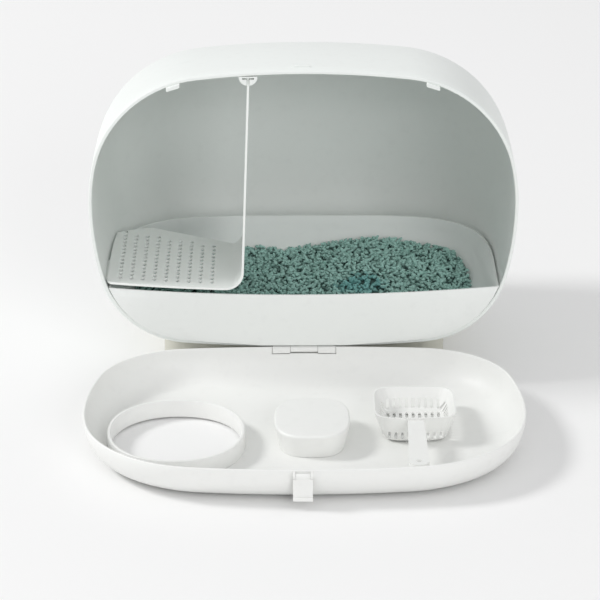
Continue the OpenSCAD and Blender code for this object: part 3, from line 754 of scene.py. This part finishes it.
def hinge_knuckle(side):
    """An outer knuckle with the flat pad that carries it inside the door."""
    inner, outer = sorted((KNUCKLE_X * side, (KNUCKLE_X + KNUCKLE_W) * side))
    barrel = rod("hinge_knuckle", (inner, HINGE.y, HINGE.z), (outer, HINGE.y, HINGE.z), KNUCKLE_R)
    pad = cube("hinge_pad", (inner, HINGE.y - PAD_REACH, HINGE.z - KNUCKLE_R),
               (outer, HINGE.y, HINGE.z + PAD_H))
    bore = rod("hinge_bore", (inner - PAST, HINGE.y, HINGE.z), (outer + PAST, HINGE.y, HINGE.z), HINGE_BORE)
    return cut(welded(barrel, rounded(pad, FINE_ROUND)), bore)


def pad_grooves(door, side):
    """The narrow gap under a hinge pad and beside its outer end."""
    inner, outer = KNUCKLE_X * side, (KNUCKLE_X + KNUCKLE_W) * side
    low = HINGE.z - KNUCKLE_R
    front, back = HINGE.y - PAD_REACH - GROOVE_FRONT, HINGE.y - HINGE_DROP - DOOR_WALL + GROOVE_DEPTH
    beyond = outer + GROOVE_W * side
    for name, x0, x1, z0, z1 in (("groove_below", inner, beyond, low - GROOVE_W, low),
                                 ("groove_beside", outer, beyond, low - GROOVE_W, HINGE.z + GROOVE_TOP)):
        cut(door, cube(name, (min(x0, x1), front, z0), (max(x0, x1), back, z1)))


def latch_ear(side):
    """One of the two ears on the door's free edge that hold the latch's pin."""
    x = LATCH_X + side * (LATCH_W - EAR_W) / 2
    low, high = x - EAR_W / 2, x + EAR_W / 2
    y, z = LATCH_PIVOT.yz
    eye = rod("latch_ear", (low, y, z), (high, y, z), EAR_R)
    root = cube("ear_root", (low, y, z - EAR_R), (high, y + EAR_ROOT, z + EAR_R))
    bore = rod("ear_bore", (low - PAST, y, z), (high + PAST, y, z), LATCH_BORE)
    return cut(welded(eye, root), bore)


def build_door():
    """The dished door, made closed over the mouth and then folded down about the hinge."""
    depth = DOOR_DEPTH - DOOR_CROWN

    def crown(share):
        return DOOR_CROWN * ((share - DOOR_FLAT) / (1 - DOOR_FLAT)) ** 2

    def station(deep, wide):
        return (-DOOR_GAP - deep, *wide)

    def curve(angle, wall):
        a = math.radians(angle)
        return station((depth - wall) * math.sin(a), inset(wall + (DOOR_CURVE - wall) * (1 - math.cos(a))))

    def front(share, wall):
        return station(DOOR_DEPTH - wall - crown(share), tuple(share * k for k in inset(DOOR_CURVE)))

    outer = [curve(a, 0) for a in CURVE_ANGLES] + [front(s, 0) for s in CROWN_SHARES]
    inner = [station(EDGE_STEP, inset(EDGE_STEP)), station(0, inset(DOOR_EDGE)),
             station(0, inset(DOOR_WALL - DOOR_EDGE)), station(EDGE_STEP, inset(DOOR_WALL - EDGE_STEP)),
             station(DOOR_EDGE, inset(DOOR_WALL))]
    inner += [curve(a, DOOR_WALL) for a in CURVE_ANGLES] + [front(s, DOOR_WALL) for s in CROWN_SHARES]
    door = two_skins("door_dish", station(DOOR_EDGE, inset(0)), outer, inner)
    edit(door)
    bpy.ops.mesh.select_all(action="SELECT")
    bpy.ops.transform.rotate(value=-math.pi / 2, orient_axis="X", center_override=HINGE)
    done()
    collar_low, collar_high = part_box("entrance_collar")
    middle, hole = (collar_low + collar_high) / 2, collar_high - collar_low
    outline = oval(middle, hole.x + ENTRANCE_PLAY, hole.y + ENTRANCE_PLAY, ENTRANCE_FULLNESS)
    cut(door, prism("entrance_hole", outline, *ENTRANCE_CUT))
    cut(door, cube("hinge_notch",
                   (-KNUCKLE_X, HINGE.y - KNUCKLE_R - DOOR_WALL, HINGE.z - KNUCKLE_R - NOTCH_PLAY),
                   (KNUCKLE_X, HINGE.y + KNUCKLE_R, HINGE.z + NOTCH_TOP)))
    for side in (-1, 1):
        pad_grooves(door, side)
    details = [hinge_knuckle(side) for side in (-1, 1)] + [latch_ear(side) for side in (-1, 1)]
    return smooth(paint(joined("door_dish", [door] + details), door_white), BODY_SMOOTH)


door = build_door()
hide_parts("door_panel")
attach(door, "door")

# ---------------------------------------------------------------- pieces made from copies of their CAD solids

STEP_HOLE = Vector((0.0056, 0.0092, 0.008))  # an oval hole of the step, cut round the middle of each slot
STEP_SLOT_MAX = 0.011  # groups of upright faces larger than this are no slot
DRAWER_LIP = 0.0014  # how far the drawer's lower edge hangs down in front of the shell's rim
DRAWER_LIP_FROM = 0.0005  # it starts this far in front of the mouth
DRAWER_LIP_EASE = 0.0035  # and comes down over this length
DRAWER_LIP_H = 0.0007  # what lies lower than this above the drawer's foot comes down with it
TONGUE_END = 0.040  # the stand's hinge tongue is white up to here behind the mouth


def upright(face):
    """Whether a face stands rather than lies."""
    return abs(face.normal.z) <= 0.5


def step_slots(step):
    """Middles of the step's slots: small groups of upright faces that hang together."""
    mesh = bmesh.new()
    mesh.from_mesh(step.data)
    seen, middles = set(), []
    for face in mesh.faces:
        if face in seen or not upright(face):
            continue
        seen.add(face)
        wall, open_faces = [], [face]
        while open_faces:
            wall.append(open_faces.pop())
            for edge in wall[-1].edges:
                for other in edge.link_faces:
                    if other not in seen and upright(other):
                        seen.add(other)
                        open_faces.append(other)
        corners = [v.co for f in wall for v in f.verts]
        low = Vector([min(c[i] for c in corners) for i in range(3)])
        high = Vector([max(c[i] for c in corners) for i in range(3)])
        if max(high - low) < STEP_SLOT_MAX:
            middles.append((low + high) / 2)
    mesh.free()
    return middles


def open_step_holes(step):
    """Cuts an oval hole round every slot of the step, a little wider than the slot."""
    holes = []
    for middle in step_slots(step):
        bpy.ops.mesh.primitive_cylinder_add(vertices=HOLE_SIDES, radius=0.5, depth=1, location=middle)
        bpy.context.active_object.scale = STEP_HOLE
        holes.append(settle(named("step_hole")))
    smooth(cut(step, joined("step_holes", holes)))


def hang_front(drawer):
    """Lets the drawer's bowed lower edge down in front of the rim, so that the gap below it hardly shows."""
    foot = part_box("drawer")[0].z
    for v in drawer.data.vertices:
        if v.co.z < foot + DRAWER_LIP_H:
            ahead = MOUTH_Y - DRAWER_LIP_FROM - v.co.y
            v.co.z -= DRAWER_LIP * min(1.0, max(0.0, ahead / DRAWER_LIP_EASE))


for node, name, material, body, slot, edge in (
        ("drawer", "drawer_tray", drawer_white, "drawer", "drawer_plastic", FINE_ROUND),
        ("divider_step", "divider_moulding", divider_white_painted_light, "divider", "divider_plastic", 0.0),
        ("entrance_collar", "entrance_ring", small_white, "door", "door_plastic", 0.001),
        ("latch", "latch_flap", small_white, "latch", "latch_plastic", 0.001),
        ("scoop", "scoop_body", small_white, "scoop", "scoop_plastic", 0.0),
        ("case_cover", "case_top", small_white, "case_lid", "case_plastic", 0.0)):
    piece = paint(dressed_copy(node, name, edge), material)
    if node == "drawer":
        hang_front(piece)
    if node == "divider_step":
        open_step_holes(piece)
    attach(piece, body)

# The stand is painted dark beige as painted shade under the shell, its hinge tongue in the white of the small
# parts.
stand = dressed_copy("stand", "stand_body", 0.0)
stand.data.materials.clear()
for material in (stand_painted_shade, small_white):
    stand.data.materials.append(material)
for face in stand.data.polygons:
    face.material_index = int(abs(face.center.x) < KNUCKLE_X and face.center.y < MOUTH_Y + TONGUE_END)
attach(stand, "housing")

for node, material in (("stand_feet", foot_rubber), ("stand_screws", pin_steel),
                       ("divider_clip", shell_white), ("hinge_pin", pin_steel), ("latch_pin", pin_steel),
                       ("case_base", small_white), ("case_block", carbon_black)):
    paint(frame["nodes"][node], material)

# ---------------------------------------------------------------- litter

LITTER_LOW, LITTER_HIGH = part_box("litter_bed")
LITTER_HALF_W = LITTER_HIGH.x
LITTER_MIDDLE_Y = (LITTER_LOW.y + LITTER_HIGH.y) / 2
LITTER_BOW = 0.0205
LITTER_FULLNESS = 5.8
HEAP_H = 0.0145
HEAP_ACROSS = (-0.02, 0.085, 0.09, 0.26)  # from the left, the heap rises and falls again between these
HEAP_BEHIND = (0.04, 0.17)  # and rises between these distances behind the mouth
HOLLOW = 0.003  # the litter lies this much lower in the middle than along its sides
SIDE_RISE = (0.15, 0.22)
UNEVEN = 0.0022
BED_W = 0.97  # of the litter's width
BED_HALF_LEN = 0.485  # of its length
BED_DIP = 0.0045  # the bed lies this far under the crumbs; its darkest colour shows between them as painted shade
BED_T = 0.012
BED_UNDERSIDE = (0.985, 0.985, 0.2)  # how the bed's underside is narrowed and flattened
BED_FLAT_Z = LITTER_HIGH.z - 0.014  # and the height that it is flattened towards
DAMP_SPOT = (0.078, 0.098)  # middle of a damp patch, from the middle and behind the mouth
DAMP_SIZE = (0.036, 0.026)
CRUMBS = 9500
CRUMB_SEED = 5
CRUMB_SIZE = (0.0018, 0.0028)
CRUMB_STRETCH = (1.0, 2.2)
CRUMB_TILT = 0.7
CRUMB_REACH = 1.8  # how far a crumb stays inside the litter's edge, in its own sizes
CRUMB_LOW, CRUMB_HIGH = -0.006, 0.0018  # how deep and how high the crumbs lie; the deep ones are painted darker, as painted shade


def eased(value, low, high):
    """A smooth step from 0 to 1 between two values."""
    share = min(1.0, max(0.0, (value - low) / (high - low)))
    return share * share * (3 - 2 * share)


def litter_edges(x):
    """Front and back of the litter at a distance from the middle."""
    share = min(1.0, abs(x) / LITTER_HALF_W)
    back = (LITTER_HIGH.y - MOUTH_Y) * (1 - share**LITTER_FULLNESS) ** (1 / LITTER_FULLNESS)
    return LITTER_LOW.y + LITTER_BOW * (x / HALF_W) ** 2, MOUTH_Y + back


def litter_side(y):
    """Half the litter's width at a distance behind the mouth."""
    share = min(1.0, max(0.0, (y - MOUTH_Y) / (LITTER_HIGH.y - MOUTH_Y)))
    return LITTER_HALF_W * (1 - share**LITTER_FULLNESS) ** (1 / LITTER_FULLNESS)


def litter_surface(x, y):
    """Height of the litter: heaped to the right of the middle and towards the back, lower in the middle."""
    heap = eased(x, *HEAP_ACROSS[:2]) * (1 - eased(x, *HEAP_ACROSS[2:])) * eased(y - MOUTH_Y, *HEAP_BEHIND)
    lumps = noise.noise(Vector((x * 22, y * 22, 2.0))) + 0.5 * noise.noise(Vector((x * 60, y * 60, 5.0)))
    return LITTER_HIGH.z + HEAP_H * heap - HOLLOW * (1 - eased(abs(x), *SIDE_RISE)) + UNEVEN * lumps


def build_bed():
    """The body of the litter, under its loose crumbs: a grid laid on the heap, closed below; with no shade
    attribute it takes the litter's darkest colour, painted shade between the crumbs.
    """
    bpy.ops.mesh.primitive_grid_add(x_subdivisions=90, y_subdivisions=60, size=2)
    bed = named("litter_bed_heap")
    edit(bed)
    mesh = bmesh.from_edit_mesh(bed.data)
    for v in mesh.verts:
        x = BED_W * LITTER_HALF_W * math.sin(v.co.x * math.pi / 2)
        front, back = litter_edges(x)
        y = front + (back - front) * (0.5 + BED_HALF_LEN * v.co.y)
        v.co = Vector((x, y, litter_surface(x, y) - BED_DIP))
    bmesh.update_edit_mesh(bed.data)
    bpy.ops.mesh.select_all(action="SELECT")
    bpy.ops.mesh.extrude_region_move(TRANSFORM_OT_translate={"value": (0, 0, -BED_T)})
    bpy.ops.transform.resize(value=BED_UNDERSIDE, center_override=(0, LITTER_MIDDLE_Y, BED_FLAT_Z))
    bpy.ops.mesh.select_all(action="SELECT")
    bpy.ops.mesh.normals_make_consistent(inside=False)
    done()
    return smooth(bed, 70)


def build_grain(name):
    """One crumb: an uneven ball of twenty faces."""
    bpy.ops.mesh.primitive_ico_sphere_add(subdivisions=1, radius=1)
    grain = named(name)
    edit(grain)
    bpy.ops.mesh.select_all(action="SELECT")
    bpy.ops.transform.vertex_random(offset=0.22, uniform=0.6, seed=7)
    done()
    return grain


def build_crumbs(name, count, seed, shape, faces):
    """Loose crumbs lying on the heap, each with a shade of its own: random tone, and painted shade that grows
    with depth.
    """
    rng = random.Random(seed)
    points, polygons, shades, damps = [], [], [], []
    for _ in range(count):
        x = rng.uniform(-LITTER_HALF_W, LITTER_HALF_W)
        y = rng.uniform(LITTER_LOW.y, LITTER_HIGH.y)
        size = rng.uniform(*CRUMB_SIZE)
        front, back = litter_edges(x)
        reach = size * CRUMB_REACH
        if y < front + reach or y > back - reach or abs(x) > litter_side(y) - reach:
            continue
        lift = rng.uniform(CRUMB_LOW, CRUMB_HIGH)
        place = Vector((x, y, litter_surface(x, y) + lift))
        heading, tilt = rng.uniform(0, 2 * math.pi), rng.uniform(-CRUMB_TILT, CRUMB_TILT)
        turn = Matrix.Rotation(heading, 3, "Z") @ Matrix.Rotation(tilt, 3, "Y")
        stretch = rng.uniform(*CRUMB_STRETCH)
        patch = 0.22 * noise.noise(Vector((x * 16, y * 16, 9.0)))
        # Part random tone, part painted shade: the deeper a crumb lies, the darker it is painted.
        shade = 0.4 * rng.random() + 0.6 * (lift - CRUMB_LOW) / (CRUMB_HIGH - CRUMB_LOW) + patch
        shade = min(1.0, max(0.0, shade))
        first = len(points)
        for p in shape:
            points.append(place + turn @ Vector((p.x * stretch, p.y, p.z)) * size)
        polygons += [tuple(first + i for i in f) for f in faces]
        shades += [shade] * len(shape)
        apart = math.hypot((x - DAMP_SPOT[0]) / DAMP_SIZE[0], (y - MOUTH_Y - DAMP_SPOT[1]) / DAMP_SIZE[1])
        apart += rng.uniform(-0.25, 0.25)
        damps += [0.5 * (1 - eased(apart, 0.6, 1.2))] * len(shape)
    mesh = bpy.data.meshes.new(name)
    mesh.from_pydata(points, [], polygons)
    for key, values in (("shade", shades), ("damp", damps)):
        mesh.attributes.new(key, "FLOAT", "POINT").data.foreach_set("value", values)
    crumbs = bpy.data.objects.new(name, mesh)
    bpy.context.scene.collection.objects.link(crumbs)
    return smooth(crumbs, 60)


def build_litter():
    """The bed and its crumbs, which ride in the drawer."""
    bed = build_bed()
    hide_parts("litter_bed")
    grain = build_grain("grain")
    shape = [v.co.copy() for v in grain.data.vertices]
    faces = [tuple(f.vertices) for f in grain.data.polygons]
    bpy.data.objects.remove(grain)
    crumbs = build_crumbs("litter_crumbs", CRUMBS, CRUMB_SEED, shape, faces)
    for piece in (bed, crumbs):
        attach(paint(piece, litter_teal), "drawer")


build_litter()

# ---------------------------------------------------------------- floor, light and camera


def build_floor():
    """A plain pale floor."""
    bpy.ops.mesh.primitive_plane_add(size=30, location=(0, 0, 0))
    floor = named("floor")
    material = bpy.data.materials.new("studio_floor")
    material.use_nodes = True
    surface = material.node_tree.nodes["Principled BSDF"]
    surface.inputs["Base Color"].default_value = (0.905, 0.905, 0.90, 1)
    surface.inputs["Roughness"].default_value = 0.7
    surface.inputs["Specular IOR Level"].default_value = 0.3
    floor.data.materials.append(material)


def lamp(name, place, aim, size, power):
    """A round, soft lamp that points at a place."""
    light = bpy.data.lights.new(name, "AREA")
    light.shape = "DISK"
    light.size = size
    light.energy = power
    holder = bpy.data.objects.new(name, light)
    holder.location = place
    holder.rotation_euler = (Vector(aim) - Vector(place)).to_track_quat("-Z", "Y").to_euler()
    bpy.context.scene.collection.objects.link(holder)


def build_light():
    """Soft light from the left, a weaker one from the front and an even, pale sky."""
    lamp("window_light", (-6.6, 0.6, 5.6), (0, 0, 0.1), 2.2, 325)
    lamp("front_light", (3.0, -7.5, 3.2), (0, 0, 0.2), 4.0, 145)
    world = bpy.data.worlds.new("studio_world")
    bpy.context.scene.world = world
    world.use_nodes = True
    world.node_tree.nodes["Background"].inputs["Color"].default_value = (0.99, 0.99, 1.0, 1)
    world.node_tree.nodes["Background"].inputs["Strength"].default_value = 0.68


def build_camera():
    """A long lens, a little above the object, turned a hair clockwise."""
    tilt, roll, far = math.radians(22.273), math.radians(-0.238), 4.3045
    target = Vector((-0.00525, MOUTH_Y, 0.1173))
    ahead = Vector((0, math.cos(tilt), -math.sin(tilt)))
    right = ahead.cross(Vector((0, 0, 1))).normalized()
    up = right.cross(ahead)
    right, up = right * math.cos(roll) + up * math.sin(roll), up * math.cos(roll) - right * math.sin(roll)
    data = bpy.data.cameras.new("camera")
    data.sensor_width = 36
    data.lens = 189.3
    data.clip_end = 60
    camera = bpy.data.objects.new("camera", data)
    turn = Matrix((right, up, -ahead)).transposed().to_4x4()
    camera.matrix_world = Matrix.Translation(target - ahead * far) @ turn
    bpy.context.scene.collection.objects.link(camera)
    bpy.context.scene.camera = camera


build_floor()
build_light()
build_camera()
bpy.context.scene.view_settings.view_transform = "Standard"
